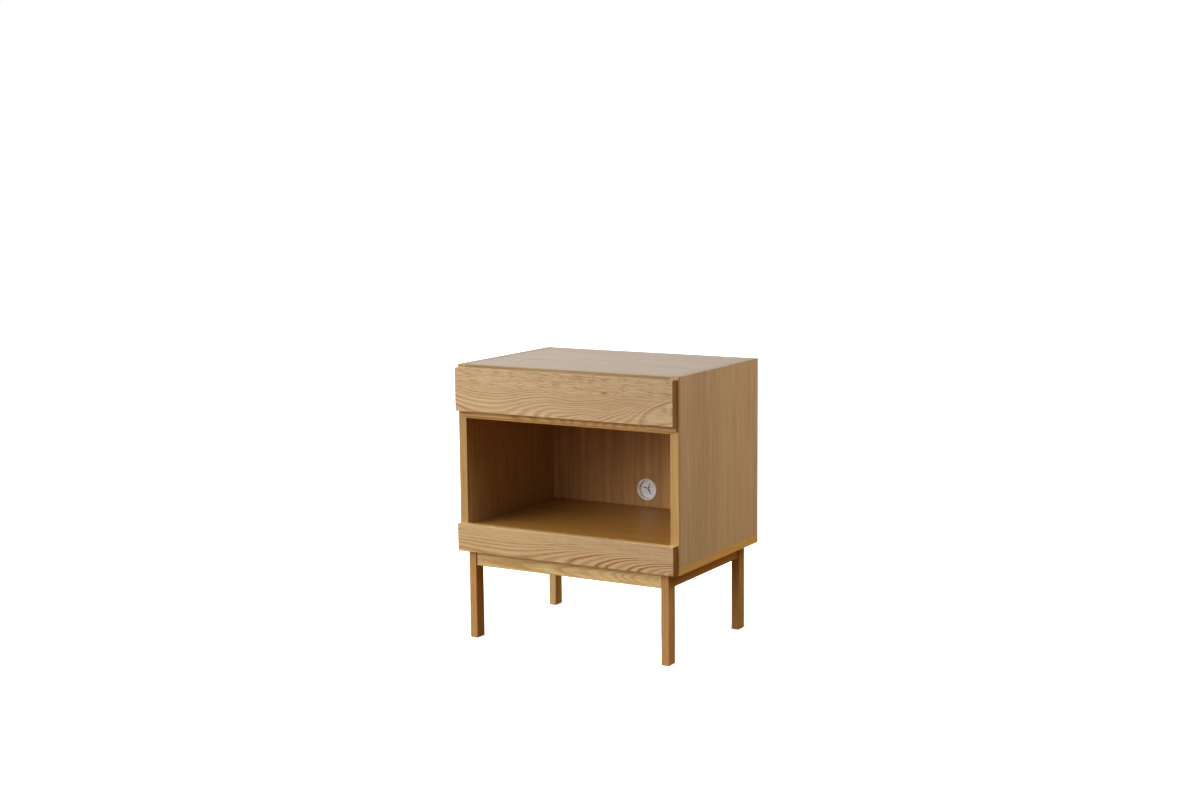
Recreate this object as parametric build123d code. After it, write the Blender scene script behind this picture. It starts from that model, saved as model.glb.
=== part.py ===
from build123d import *
from collections import namedtuple
import os

# Oak bedside cabinet: a box carcass on a low leg frame, with one drawer on
# telescopic slides above an open compartment that has a cable outlet in its
# back panel.  Millimetres, +Z up, front towards -Y, left is -X.
# Positions are written from the carcass front plane (y = 0, back towards +y);
# save() moves them so that the origin is the centre of the footprint.

# ------------------------------------------------------- driving dimensions
WIDTH = 540.0            # carcass, across
DEPTH = 376.0            # carcass, front to back
HEIGHT = 605.0           # floor to top
CARCASS_Z = 193.0        # carcass underside
SIDE_T = 20.0
TOP_T = 18.0
BOTTOM_T = 18.0
LIPPING_T = 5.0          # solid lipping on front edges

DIVIDER_Z = 487.5        # underside of the panel under the drawer
DIVIDER_T = 15.0
FLOOR_Z = 252.0          # top of the compartment floor
FLOOR_T = 12.0
BACK_Y = 358.0           # inner face of the back panel
BACK_T = 8.0
GROOVE = 5.0             # groove depth for the back panel
FIT = 0.1                # groove play

BOARD_HALF_W = 266.0     # drawer front and lower front board
BOARD_T = 18.0
DRAWER_GAP = 0.8         # drawer front stands this far off the carcass

INNER_X = WIDTH / 2 - SIDE_T          # half clear width inside the carcass
SIDE_MID_X = WIDTH / 2 - SIDE_T / 2
BOTTOM_TOP_Z = CARCASS_Z + BOTTOM_T
TOP_UNDER_Z = HEIGHT - TOP_T
GROOVE_CUT = GROOVE + FIT
GROOVE_Y0 = BACK_Y - FIT              # inner parts also stop here
GROOVE_Y1 = BACK_Y + BACK_T + FIT
FRONT_Y = -(BOARD_T + DRAWER_GAP)     # face of the drawer front
CENTRE_SHIFT_Y = -(DEPTH + FRONT_Y) / 2

# eased edge radii
EASE_FINE = 0.6
EASE_LIPPING = 0.8
EASE_EDGE = 1.0
EASE_BOX = 1.5

DRILL_OVER = 0.5         # holes run this far past their fastener
SCREW_PLAY = 0.05        # radial

Screw = namedtuple("Screw", "length radius head_radius head_height")
SLIDE_CABINET_SCREW = Screw(13.0, 1.75, 3.3, 1.0)
SLIDE_DRAWER_SCREW = Screw(10.5, 1.75, 3.3, 1.0)
BEARER_SCREW = Screw(30.0, 1.75, 3.5, 2.4)
FRONT_BOARD_SCREW = Screw(32.0, 1.75, 3.5, 2.4)
DRAWER_FRONT_SCREW = Screw(26.0, 1.75, 3.5, 2.4)
BASE_SCREW = Screw(36.0, 2.2, 4.2, 2.6)

SIDES = ((-1, "left"), (1, "right"))
RIGHT, LEFT = (1, 0, 0), (-1, 0, 0)
REARWARD, FORWARD = (0, 1, 0), (0, -1, 0)
UP, DOWN = (0, 0, 1), (0, 0, -1)

os.makedirs("parts", exist_ok=True)


# ------------------------------------------------------------------- helpers
def block(x0, x1, y0, y1, z0, z1):
    """Box between two corners, given in either order."""
    centre = Pos((x0 + x1) / 2, (y0 + y1) / 2, (z0 + z1) / 2)
    return centre * Box(abs(x1 - x0), abs(y1 - y0), abs(z1 - z0))


def rod(start, direction, length, radius):
    """Cylinder running from start along direction."""
    plane = Plane(origin=start, z_dir=direction)
    return plane * Pos(0, 0, length / 2) * Cylinder(radius, length)


def dowel(centre, direction, length, radius):
    """Wooden dowel with chamfered ends."""
    pin = Cylinder(radius, length)
    pin = chamfer(pin.edges().filter_by(GeomType.CIRCLE), 0.7)
    return Plane(origin=centre, z_dir=direction) * pin


def turned(*profile):
    """Solid of revolution about Z from a closed (radius, height) outline."""
    return revolve(make_face(Plane.XZ * Polyline(*profile)), Axis.Z)


def screw(head_centre, direction, spec):
    """Countersunk, cross-slotted wood screw; its head face is at head_centre."""
    length, radius, head_radius, head_height = spec
    tip = min(5.0, length * 0.3)
    body = turned((0, 0), (head_radius, 0), (radius, head_height), (radius, length - tip),
                  (0.25, length), (0, length), (0, 0))
    slot_l, slot_w, slot_h = head_radius * 1.1, 0.9, 1.0
    body = body - (Box(slot_l, slot_w, slot_h) + Box(slot_w, slot_l, slot_h))
    return Plane(origin=head_centre, z_dir=direction) * body


def screw_hole(head_centre, direction, spec):
    """Cutter for the countersunk hole of a screw."""
    above = -0.01
    head_radius = spec.head_radius + SCREW_PLAY
    radius = spec.radius + SCREW_PLAY
    end = spec.length + DRILL_OVER
    cutter = turned((0, above), (head_radius, above), (head_radius, 0.0),
                    (radius, spec.head_height + SCREW_PLAY), (radius, end),
                    (0, end), (0, above))
    return Plane(origin=head_centre, z_dir=direction) * cutter


def pilot_hole(start, direction, spec, clamped):
    """Cutter for a screw's hole in the second part, beyond the clamped thickness."""
    return rod(start, direction, spec.length - clamped + DRILL_OVER,
               spec.radius + SCREW_PLAY)


def near(value, target):
    return abs(value - target) < 0.02


def at(axis, value, longer_than=0):
    """Edge test: middle at this X, Y or Z, and longer than a limit."""
    return lambda e: near(getattr(e.center(), axis), value) and e.length > longer_than


def ease(shape, wanted, radius):
    return fillet([e for e in shape.edges() if wanted(e)], radius)


def mirror_x(shape):
    return mirror(shape, about=Plane.YZ)


def save(shape, name):
    """Write one piece; a list of solids becomes one compound."""
    centring = Pos(0, CENTRE_SHIFT_Y, 0)
    if isinstance(shape, list):
        shape = Compound(children=[centring * s for s in shape])
    else:
        shape = centring * shape
    shape.label = name
    export_step(shape, "parts/" + name + ".step")


def save_pair(left, name):
    """Write a left-hand piece and its mirror image."""
    save(left, name + "_left")
    save(mirror_x(left), name + "_right")


# ------------------------------------------------- shared fastener positions
DOWEL_R = 4.0
DOWEL_HOLE_R = 4.04
DOWEL_L = 29.0
DOWEL_IN_SIDE = 12.5
DOWEL_IN_BOTTOM = 12.0
CORNER_DOWEL_Y = (60.0, 188.0, 320.0)
DIVIDER_DOWEL_Y = (80.0, 280.0)
TOP_MID_Z = TOP_UNDER_Z + TOP_T / 2
DIVIDER_MID_Z = DIVIDER_Z + DIVIDER_T / 2

SLIDE_Z = 540.0          # slide centre height
SLIDE_Y = 3.0            # slide front end
SLIDE_SHEET = 1.0        # sheet thickness under the screw heads
SLIDE_SCREW_Y = [SLIDE_Y + y for y in (27.0, 147.0, 277.0)]

BATTEN_T = 18.0          # bearers and front batten
SUPPORT_SCREW_Z = 226.0
BEARER_SCREW_Y = (80.0, 278.0)
FRONT_BOARD_SCREW_X = (-200.0, -70.0, 70.0, 200.0)

# ---------------------------------------------------- leg frame dimensions
LEG_X = 18.0             # leg section, across
LEG_Y = 28.0             # leg section, front to back
LEG_INSET = 23.0         # leg outer face in from the carcass side
LEG_FRONT_Y = -3.0       # front leg's front face
LEG_REAR_Y = 355.0       # rear leg's rear face
APRON_T = 15.0
APRON_Z = 163.0          # apron underside
APRON_SET = 2.5          # apron set back from the leg face
COUNTERBORE = 8.0        # screw heads sit this deep in the aprons
COUNTERBORE_R = 4.75

LEG_OUTER_X = WIDTH / 2 - LEG_INSET
LEG_INNER_X = LEG_OUTER_X - LEG_X
LEG_MID_X = LEG_OUTER_X - LEG_X / 2
FRONT_LEG_Y1 = LEG_FRONT_Y + LEG_Y
REAR_LEG_Y0 = LEG_REAR_Y - LEG_Y
# middles of the aprons' thickness
APRON_FRONT_Y = LEG_FRONT_Y + APRON_SET + APRON_T / 2
APRON_REAR_Y = LEG_REAR_Y - APRON_SET - APRON_T / 2
APRON_SIDE_X = LEG_OUTER_X - APRON_SET - APRON_T / 2

BASE_SCREW_XY = [(x, y) for x in (-130.0, 130.0) for y in (APRON_FRONT_Y, APRON_REAR_Y)]
BASE_SCREW_XY += [(side * APRON_SIDE_X, y) for y in (95.0, 257.0) for side, _ in SIDES]


# ------------------------------------------------------------------ carcass
def side_panel():
    """Left side panel, behind its lipping."""
    panel = block(-WIDTH / 2, -INNER_X, LIPPING_T, DEPTH, BOTTOM_TOP_Z, HEIGHT)
    panel -= block(-INNER_X - GROOVE_CUT, -INNER_X, GROOVE_Y0, GROOVE_Y1,
                   BOTTOM_TOP_Z, TOP_UNDER_Z + GROOVE_CUT)
    for y in CORNER_DOWEL_Y:
        panel -= rod((-INNER_X, y, TOP_MID_Z), LEFT, DOWEL_IN_SIDE + DRILL_OVER, DOWEL_HOLE_R)
        panel -= rod((-SIDE_MID_X, y, BOTTOM_TOP_Z), UP,
                     DOWEL_L - DOWEL_IN_BOTTOM + DRILL_OVER, DOWEL_HOLE_R)
    for y in DIVIDER_DOWEL_Y:
        panel -= rod((-INNER_X, y, DIVIDER_MID_Z), LEFT,
                     DOWEL_IN_SIDE + DRILL_OVER, DOWEL_HOLE_R)
    for y in SLIDE_SCREW_Y:
        panel -= pilot_hole((-INNER_X, y, SLIDE_Z), LEFT, SLIDE_CABINET_SCREW, SLIDE_SHEET)
    for y in BEARER_SCREW_Y:
        panel -= pilot_hole((-INNER_X, y, SUPPORT_SCREW_Z), LEFT, BEARER_SCREW, BATTEN_T)
    return ease(panel, lambda e: near(e.center().X, -WIDTH / 2) and
                at("Y", DEPTH, 300)(e), EASE_FINE)


def side_lipping():
    lipping = block(-WIDTH / 2, -INNER_X, 0, LIPPING_T, BOTTOM_TOP_Z, HEIGHT)
    return ease(lipping, at("Y", 0, 300), EASE_LIPPING)


def drill_end(panel, side, y_places, z):
    """Dowel holes in one end of a panel that fits between the sides."""
    for y in y_places:
        panel -= rod((side * INNER_X, y, z), (-side, 0, 0),
                     DOWEL_L - DOWEL_IN_SIDE + DRILL_OVER, DOWEL_HOLE_R)
    return panel


# stacking holes in the top
STACK_X = 152.0          # half spacing across
STACK_Y = (52.0, 260.0)
STACK_R = 2.5
STACK_DEPTH = 12.0


def top_panel():
    panel = block(-INNER_X, INNER_X, LIPPING_T, DEPTH, TOP_UNDER_Z, HEIGHT)
    panel -= block(-INNER_X, INNER_X, GROOVE_Y0, GROOVE_Y1,
                   TOP_UNDER_Z, TOP_UNDER_Z + GROOVE_CUT)
    for side, _ in SIDES:
        panel = drill_end(panel, side, CORNER_DOWEL_Y, TOP_MID_Z)
        for y in STACK_Y:
            panel -= rod((side * STACK_X, y, HEIGHT), DOWN, STACK_DEPTH, STACK_R)
    return panel


def top_lipping():
    lipping = block(-INNER_X, INNER_X, 0, LIPPING_T, TOP_UNDER_Z, HEIGHT)
    return ease(lipping, at("Y", 0, 300), EASE_FINE)


def bottom_panel():
    panel = block(-WIDTH / 2, WIDTH / 2, 0, DEPTH, CARCASS_Z, BOTTOM_TOP_Z)
    panel -= block(-INNER_X - GROOVE_CUT, INNER_X + GROOVE_CUT, GROOVE_Y0, GROOVE_Y1,
                   BOTTOM_TOP_Z - GROOVE_CUT, BOTTOM_TOP_Z)
    for side, _ in SIDES:
        for y in CORNER_DOWEL_Y:
            panel -= rod((side * SIDE_MID_X, y, BOTTOM_TOP_Z), DOWN,
                         DOWEL_IN_BOTTOM + DRILL_OVER, DOWEL_HOLE_R)
    for x, y in BASE_SCREW_XY:
        panel -= pilot_hole((x, y, CARCASS_Z), UP, BASE_SCREW,
                            CARCASS_Z - APRON_Z - COUNTERBORE)
    return ease(panel, at("Z", CARCASS_Z, 300), EASE_FINE)


def drawer_divider():
    panel = block(-INNER_X, INNER_X, LIPPING_T, GROOVE_Y0, DIVIDER_Z, DIVIDER_Z + DIVIDER_T)
    for side, _ in SIDES:
        panel = drill_end(panel, side, DIVIDER_DOWEL_Y, DIVIDER_MID_Z)
    return panel


def divider_lipping():
    """Only the lower front edge is eased."""
    lipping = block(-INNER_X, INNER_X, 0, LIPPING_T, DIVIDER_Z, DIVIDER_Z + DIVIDER_T)
    return ease(lipping, lambda e: near(e.center().Y, 0) and
                at("Z", DIVIDER_Z, 300)(e), EASE_FINE)


save_pair(side_panel(), "side_panel")
save_pair(side_lipping(), "side_lipping")
save(top_panel(), "top_panel")
save(top_lipping(), "top_lipping")
save(bottom_panel(), "bottom_panel")
save(drawer_divider(), "drawer_divider")
save(divider_lipping(), "divider_lipping")

carcass_dowels = []
for side, _ in SIDES:
    across_x = side * (INNER_X + DOWEL_IN_SIDE - DOWEL_L / 2)
    upright_z = BOTTOM_TOP_Z - DOWEL_IN_BOTTOM + DOWEL_L / 2
    for y in CORNER_DOWEL_Y:
        carcass_dowels.append(dowel((across_x, y, TOP_MID_Z), RIGHT, DOWEL_L, DOWEL_R))
        carcass_dowels.append(dowel((side * SIDE_MID_X, y, upright_z), UP, DOWEL_L, DOWEL_R))
    for y in DIVIDER_DOWEL_Y:
        carcass_dowels.append(dowel((across_x, y, DIVIDER_MID_Z), RIGHT, DOWEL_L, DOWEL_R))
save(carcass_dowels, "carcass_dowels")

# --------------------------------------- compartment floor and its supports
SUPPORT_Z = (BOTTOM_TOP_Z, FLOOR_Z - FLOOR_T)
BATTEN_HALF_L = INNER_X - 0.2
FLOOR_HALF_W = INNER_X - 0.3
FLOOR_Y = 0.1            # floor's front edge
BEARER_Y = (20.0, 338.0)
REAR_BATTEN_Y = 339.8    # front face
FRONT_BOARD_Z = (195.6, 256.6)


def floor_bearer(side):
    """Bearer along one side panel, screwed to it from inside."""
    inner_x = side * (INNER_X - BATTEN_T)
    bearer = block(side * INNER_X, inner_x, *BEARER_Y, *SUPPORT_Z)
    for y in BEARER_SCREW_Y:
        bearer -= screw_hole((inner_x, y, SUPPORT_SCREW_Z), (side, 0, 0), BEARER_SCREW)
    return bearer


def front_batten():
    batten = block(-BATTEN_HALF_L, BATTEN_HALF_L, 0.0, BATTEN_T, *SUPPORT_Z)
    for x in FRONT_BOARD_SCREW_X:
        batten -= screw_hole((x, BATTEN_T, SUPPORT_SCREW_Z), FORWARD, FRONT_BOARD_SCREW)
    return batten


def lower_front_board():
    """Front board with all face edges and the top rear edge eased."""
    board = block(-BOARD_HALF_W, BOARD_HALF_W, -BOARD_T, 0, *FRONT_BOARD_Z)
    board = ease(board, lambda e: near(e.center().Y, -BOARD_T) or
                 (near(e.center().Z, FRONT_BOARD_Z[1]) and near(e.center().Y, 0)), EASE_EDGE)
    for x in FRONT_BOARD_SCREW_X:
        board -= pilot_hole((x, 0, SUPPORT_SCREW_Z), FORWARD, FRONT_BOARD_SCREW, BATTEN_T)
    return board


save(block(-FLOOR_HALF_W, FLOOR_HALF_W, FLOOR_Y, GROOVE_Y0, FLOOR_Z - FLOOR_T, FLOOR_Z),
     "compartment_floor")
for side, side_name in SIDES:
    save(floor_bearer(side), "floor_bearer_" + side_name)
save(front_batten(), "front_batten")
save(block(-BATTEN_HALF_L, BATTEN_HALF_L, REAR_BATTEN_Y, GROOVE_Y0, *SUPPORT_Z),
     "rear_batten")
save(lower_front_board(), "lower_front_board")
save([screw((side * (INNER_X - BATTEN_T), y, SUPPORT_SCREW_Z), (side, 0, 0), BEARER_SCREW)
      for side, _ in SIDES for y in BEARER_SCREW_Y], "bearer_screws")
save([screw((x, BATTEN_T, SUPPORT_SCREW_Z), FORWARD, FRONT_BOARD_SCREW)
      for x in FRONT_BOARD_SCREW_X], "front_board_screws")

# --------------------------------------------- back panel and cable outlet
OUTLET_X = 0.0
OUTLET_Z = 292.0
FLANGE_R = 25.0
FLANGE_T = 2.0
BODY_R = 21.8
BORE_R = 20.7
INSERT_Y = BACK_Y + 6.0  # front of the soft insert
INSERT_L = 5.6
INSERT_LIP = 1.2         # thickness of each slit lip
SLIT_DEPTH = 2 * INSERT_LIP

# spokes of the star slits: angle, inner width, outer width, reach
WIDE_SPOKE = (3.2, 1.1, 14.0)
NARROW_SPOKE = (0.4, 0.3, 16.5)
FRONT_SPOKES = [(28.0 + 45.0 * k, *(WIDE_SPOKE if k in (1, 3, 6) else NARROW_SPOKE))
                for k in range(8)]
REAR_SPOKES = [(5.5 + 90.0 * k, 0.6, 0.5, 15.0) for k in range(4)]


def outlet_rod(y, length, radius):
    """Cylinder on the outlet's axis, running rearward from y."""
    return rod((OUTLET_X, y, OUTLET_Z), REARWARD, length, radius)


def back_panel():
    panel = block(-INNER_X - GROOVE, INNER_X + GROOVE, BACK_Y, BACK_Y + BACK_T,
                  BOTTOM_TOP_Z - GROOVE, TOP_UNDER_Z + GROOVE)
    return panel - outlet_rod(BACK_Y - 1, BACK_T + 2, BODY_R + 0.1)


def cable_outlet_ring():
    """Flanged tube with a ledge at the rear that holds the insert."""
    flange_y = BACK_Y - FLANGE_T
    ring = outlet_rod(flange_y, FLANGE_T, FLANGE_R)
    ring = ease(ring, at("Y", flange_y), 1.1)
    ring += outlet_rod(BACK_Y - 0.5, BACK_T + 5.4, BODY_R)
    ring -= outlet_rod(BACK_Y - 3.0, BACK_T + 8.0, BORE_R)
    ring = ease(ring, lambda e: e.geom_type == GeomType.CIRCLE and
                near(e.center().Y, flange_y) and near(e.radius, BORE_R), EASE_FINE)
    insert_end = INSERT_Y + INSERT_L
    ledge = outlet_rod(insert_end + 0.1, 1.2, BORE_R + 0.2)
    ledge -= outlet_rod(insert_end, 2.0, BORE_R - 1.6)
    return ring + ledge


def star_cutter(lip_mid_y, spokes, hole_r):
    """Cutter for a central hole with radiating slits, centred on a lip."""
    y = lip_mid_y - SLIT_DEPTH / 2
    cutter = outlet_rod(y, SLIT_DEPTH, hole_r)
    for angle, inner_w, outer_w, reach in spokes:
        with BuildSketch(Plane(origin=(OUTLET_X, y + SLIT_DEPTH, OUTLET_Z),
                               x_dir=(1, 0, 0), z_dir=(0, -1, 0))) as spoke:
            with BuildLine(Rot(0, 0, angle)):
                Polyline((0.6, -inner_w / 2), (reach, -outer_w / 2),
                         (reach, outer_w / 2), (0.6, inner_w / 2), close=True)
            make_face()
        cutter += extrude(spoke.sketch, SLIT_DEPTH)
    return cutter


def cable_outlet_membrane():
    """Soft insert: two slit lips joined by a rim."""
    insert = outlet_rod(INSERT_Y, INSERT_L, BORE_R - 0.1)
    insert -= outlet_rod(INSERT_Y + INSERT_LIP, INSERT_L - 2 * INSERT_LIP, BORE_R - 2.0)
    insert -= star_cutter(INSERT_Y + INSERT_LIP / 2, FRONT_SPOKES, 1.9)
    insert -= star_cutter(INSERT_Y + INSERT_L - INSERT_LIP / 2, REAR_SPOKES, 0.7)
    return insert


save(back_panel(), "back_panel")
save(cable_outlet_ring(), "cable_outlet_ring")
save(cable_outlet_membrane(), "cable_outlet_membrane")

# --------------------------------------------------------------- leg frame
BASE_DOWEL_R = 3.0
BASE_DOWEL_L = 27.0
BASE_DOWEL_IN_LEG = 11.5
BASE_DOWEL_Z = (170.5, 185.5)
BASE_HOLE_R = BASE_DOWEL_R + 0.04
BASE_HOLE_OVER = 0.4
LEG_HOLE_DEPTH = BASE_DOWEL_IN_LEG + BASE_HOLE_OVER
APRON_HOLE_DEPTH = BASE_DOWEL_L - BASE_DOWEL_IN_LEG + BASE_HOLE_OVER
GLIDE_T = 1.0            # glide stands under the leg
GLIDE_R = 7.0

# leg rows: name, front face, rear face, face joined by the side apron,
# middle of the cross apron, y direction from that face into the leg
LEG_ROWS = (
    ("front", LEG_FRONT_Y, FRONT_LEG_Y1, FRONT_LEG_Y1, APRON_FRONT_Y, -1),
    ("rear", REAR_LEG_Y0, LEG_REAR_Y, REAR_LEG_Y0, APRON_REAR_Y, 1),
)


def leg(side, y0, y1, joint_y, apron_y, into_leg):
    post = block(side * LEG_INNER_X, side * LEG_OUTER_X, y0, y1, GLIDE_T, CARCASS_Z)
    post = ease(post, lambda e: e.length > 100 or near(e.center().Z, GLIDE_T), EASE_EDGE)
    for z in BASE_DOWEL_Z:
        post -= rod((side * LEG_INNER_X, apron_y, z), (side, 0, 0),
                    LEG_HOLE_DEPTH, BASE_HOLE_R)
        post -= rod((side * APRON_SIDE_X, joint_y, z), (0, into_leg, 0),
                    LEG_HOLE_DEPTH, BASE_HOLE_R)
    return post - rod((side * LEG_MID_X, (y0 + y1) / 2, GLIDE_T), UP, 12.5, 1.05)


def leg_dowels(side, joint_y, apron_y, into_leg):
    """Two dowels into the cross apron and two into the side apron."""
    offset = BASE_DOWEL_IN_LEG - BASE_DOWEL_L / 2
    cross_x = side * (LEG_INNER_X + offset)
    side_y = joint_y + into_leg * offset
    pins = []
    for z in BASE_DOWEL_Z:
        pins.append(dowel((cross_x, apron_y, z), RIGHT, BASE_DOWEL_L, BASE_DOWEL_R))
        pins.append(dowel((side * APRON_SIDE_X, side_y, z), REARWARD,
                          BASE_DOWEL_L, BASE_DOWEL_R))
    return pins


def glide(x, y):
    """Rounded disc under a leg, with a pin up into it."""
    disc = rod((x, y, 0), UP, GLIDE_T, GLIDE_R)
    disc = ease(disc, at("Z", 0), 0.5)
    return disc + rod((x, y, GLIDE_T - 0.2), UP, 12.0, 1.0)


def drill_base(apron):
    """Counterbored screw holes, up through the aprons."""
    for x, y in BASE_SCREW_XY:
        apron -= rod((x, y, APRON_Z - 1), UP, COUNTERBORE + 1, COUNTERBORE_R)
        apron -= rod((x, y, APRON_Z), UP, 40.0, BASE_SCREW.radius + SCREW_PLAY)
        apron -= screw_hole((x, y, APRON_Z + COUNTERBORE), UP, BASE_SCREW)
    return apron


def cross_apron(mid_y):
    apron = block(-LEG_INNER_X, LEG_INNER_X, mid_y - APRON_T / 2, mid_y + APRON_T / 2,
                  APRON_Z, CARCASS_Z)
    apron = ease(apron, at("Z", APRON_Z, 100), EASE_EDGE)
    for side, _ in SIDES:
        for z in BASE_DOWEL_Z:
            apron -= rod((side * LEG_INNER_X, mid_y, z), (-side, 0, 0),
                         APRON_HOLE_DEPTH, BASE_HOLE_R)
    return drill_base(apron)


def side_apron(side):
    mid_x = side * APRON_SIDE_X
    apron = block(mid_x - APRON_T / 2, mid_x + APRON_T / 2, FRONT_LEG_Y1, REAR_LEG_Y0,
                  APRON_Z, CARCASS_Z)
    apron = ease(apron, at("Z", APRON_Z, 100), EASE_EDGE)
    for z in BASE_DOWEL_Z:
        apron -= rod((mid_x, FRONT_LEG_Y1, z), REARWARD, APRON_HOLE_DEPTH, BASE_HOLE_R)
        apron -= rod((mid_x, REAR_LEG_Y0, z), FORWARD, APRON_HOLE_DEPTH, BASE_HOLE_R)
    return drill_base(apron)


base_dowels = []
glides = []
for side, side_name in SIDES:
    for row, y0, y1, joint_y, apron_y, into_leg in LEG_ROWS:
        save(leg(side, y0, y1, joint_y, apron_y, into_leg), f"leg_{row}_{side_name}")
        base_dowels += leg_dowels(side, joint_y, apron_y, into_leg)
        glides.append(glide(side * LEG_MID_X, (y0 + y1) / 2))
    save(side_apron(side), "apron_" + side_name)
save(cross_apron(APRON_FRONT_Y), "apron_front")
save(cross_apron(APRON_REAR_Y), "apron_rear")
save(base_dowels, "base_dowels")
save(glides, "leg_glides")
save([screw((x, y, APRON_Z + COUNTERBORE), UP, BASE_SCREW) for x, y in BASE_SCREW_XY],
     "base_screws")

# ------------------------------------------------------ telescopic slides
# Modelled on the left, mirrored for the right.  Sections are rectangles
# (x0, x1, z0, z1): x from the side panel's inner face, z from the slide centre.
SLIDE_L = 300.0          # closed length
SLIDE_T = 12.3
SLIDE_HALF_H = 17.5
SLIDE_END_Y = SLIDE_Y + SLIDE_L
SLIDE_X = -INNER_X
DRAWER_WEB_X = SLIDE_T - SLIDE_SHEET

CABINET_SECTION = (
    (0, SLIDE_SHEET, -SLIDE_HALF_H, SLIDE_HALF_H),
    (0, 11.0, 16.5, SLIDE_HALF_H), (0, 11.0, -SLIDE_HALF_H, -16.5),
    (10.0, 11.0, 14.6, SLIDE_HALF_H), (10.0, 11.0, -SLIDE_HALF_H, -14.6),
)
MIDDLE_WEB_X = 2.2
MIDDLE_SECTION = (
    (MIDDLE_WEB_X, 3.2, -13.3, 13.3),
    (MIDDLE_WEB_X, 9.9, 12.3, 13.3), (MIDDLE_WEB_X, 9.9, -13.3, -12.3),
    (9.1, 9.9, 11.4, 13.3), (9.1, 9.9, -13.3, -11.4),
)
DRAWER_SECTION = (
    (DRAWER_WEB_X, SLIDE_T, -9.65, 9.65),
    (4.2, SLIDE_T, 8.65, 9.65), (4.2, SLIDE_T, -9.65, -8.65),
)

CAGE_L = 70.0
BALLS_PER_ROW = 5
BALL_PITCH = CAGE_L / BALLS_PER_ROW


def channel(section, y0, y1):
    """Bar of the given section between y0 and y1."""
    first, *others = [block(SLIDE_X + x0, SLIDE_X + x1, y0, y1, SLIDE_Z + z0, SLIDE_Z + z1)
                      for x0, x1, z0, z1 in section]
    for other in others:
        first = first + other
    return first


def cabinet_member():
    member = channel(CABINET_SECTION, SLIDE_Y, SLIDE_END_Y)
    member = ease(member, lambda e: e.length > 200 and
                  near(abs(e.center().Z - SLIDE_Z), SLIDE_HALF_H), 0.9)
    for y in SLIDE_SCREW_Y:
        member -= screw_hole((SLIDE_X + SLIDE_SHEET, y, SLIDE_Z), LEFT, SLIDE_CABINET_SCREW)
    return member


def middle_member():
    """Middle channel with round holes in line with the screws."""
    member = channel(MIDDLE_SECTION, SLIDE_Y + 1.0, SLIDE_END_Y - 4.0)
    member = ease(member, at("X", SLIDE_X + MIDDLE_WEB_X, 200), 0.7)
    for y in SLIDE_SCREW_Y:
        member -= rod((SLIDE_X + 1.0, y, SLIDE_Z), RIGHT, 3.0, 4.2)
    return member


def drawer_member():
    member = channel(DRAWER_SECTION, SLIDE_Y, SLIDE_END_Y)
    member = ease(member, at("X", SLIDE_X + SLIDE_T, 200), 0.7)
    for y in SLIDE_SCREW_Y:
        member -= screw_hole((SLIDE_X + DRAWER_WEB_X, y, SLIDE_Z), RIGHT, SLIDE_DRAWER_SCREW)
    return member


def ball_cage(y0, web_x, strip_x, row_z, strip_half_t, ball_x, ball_r):
    """Cage and its balls: a windowed web with a strip along each ball row.

    web_x is the web's (near, far) faces; both strips run from near to strip_x.
    """
    near_x, far_x = web_x
    inside, outside = row_z - strip_half_t, row_z + strip_half_t
    cage = channel([(near_x, far_x, -outside, outside),
                    (near_x, strip_x, inside, outside),
                    (near_x, strip_x, -outside, -inside)], y0, y0 + CAGE_L)
    balls = []
    for i in range(BALLS_PER_ROW):
        y = y0 + BALL_PITCH * (i + 0.5)
        for row in (-1, 1):
            z = SLIDE_Z + row * row_z
            cage -= rod((SLIDE_X + ball_x, y, z - 1.0), UP, 2.0, ball_r + 0.1)
            balls.append(Pos(SLIDE_X + ball_x, y, z) * Sphere(ball_r))
    cage -= block(SLIDE_X + near_x - 0.5, SLIDE_X + far_x + 0.5, y0 + 8.0, y0 + CAGE_L - 8.0,
                  SLIDE_Z - row_z + 4.0, SLIDE_Z + row_z - 4.0)
    return cage, balls


save_pair(cabinet_member(), "slide_cabinet_member")
save_pair(middle_member(), "slide_middle_member")
save_pair(drawer_member(), "slide_drawer_member")
CAGES = {
    "outer": dict(y0=90.0, web_x=(1.3, 1.9), strip_x=9.6, row_z=14.9,
                  strip_half_t=0.35, ball_x=5.9, ball_r=1.5),
    "inner": dict(y0=120.0, web_x=(3.5, 4.0), strip_x=8.8, row_z=10.975,
                  strip_half_t=0.3, ball_x=6.6, ball_r=1.25),
}
for cage_name, sizes in CAGES.items():
    cage, balls = ball_cage(**sizes)
    save_pair(cage, cage_name + "_ball_cage")
    save(balls + [mirror_x(b) for b in balls], cage_name + "_slide_balls")
save([screw((side * (INNER_X - SLIDE_SHEET), y, SLIDE_Z), (side, 0, 0), SLIDE_CABINET_SCREW)
      for side, _ in SIDES for y in SLIDE_SCREW_Y], "slide_cabinet_screws")
save([screw((side * (INNER_X - DRAWER_WEB_X), y, SLIDE_Z), (-side, 0, 0), SLIDE_DRAWER_SCREW)
      for side, _ in SIDES for y in SLIDE_SCREW_Y], "slide_drawer_screws")

# ------------------------------------------------------------------ drawer
FRONT_TOP_Z = 599.5
FRONT_FACE_Z = 504.6     # bottom of the main face
FINGER_LIP_Z = 492.5     # bottom of the finger lip
FINGER_LIP_Y = -3.6      # front face of the finger lip

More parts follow.
